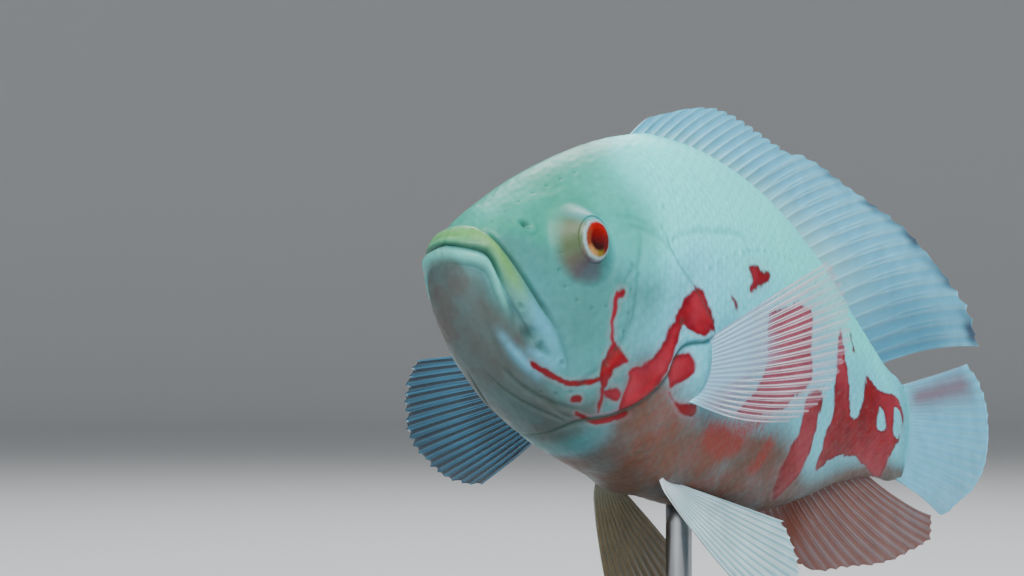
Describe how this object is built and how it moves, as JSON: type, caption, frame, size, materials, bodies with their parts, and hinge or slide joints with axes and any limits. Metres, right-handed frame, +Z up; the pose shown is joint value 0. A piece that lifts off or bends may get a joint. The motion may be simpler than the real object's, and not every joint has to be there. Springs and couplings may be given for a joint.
{
  "type": "oscar fish",
  "caption": "Life-size still model of a white and red oscar fish, nose up and banked a little, held over a flat base by a short rod.",
  "frame": {"origin": "centre of the underside of the stand's base", "axes": "+Z up, head towards -X, the fish's left side towards -Y"},
  "size_m": [0.2869, 0.1279, 0.196],
  "materials": {
    "skin": "moist pale blue-green skin with crimson marks and fine scales",
    "fin": "thin pale blue membrane over raised rays",
    "eye": "clear wet cornea over an orange-red iris",
    "stand_wood": "black-stained wood, satin lacquer",
    "stand_steel": "brushed"
  },
  "bodies": {
    "root": {"head": "skin", "jaw_lower": "skin", "gill_cover_left": "skin", "gill_cover_right": "skin", "trunk": "skin", "tail_root": "skin", "eye_left": "eye", "eye_right": "eye", "fin_dorsal": "fin", "fin_anal": "fin", "fin_tail": "fin", "fin_pectoral_left": "fin", "fin_pectoral_right": "fin", "fin_pelvic_left": "fin", "fin_pelvic_right": "fin", "stand_base": "stand_wood", "stand_rod": "stand_steel"}
  },
  "joints": []
}
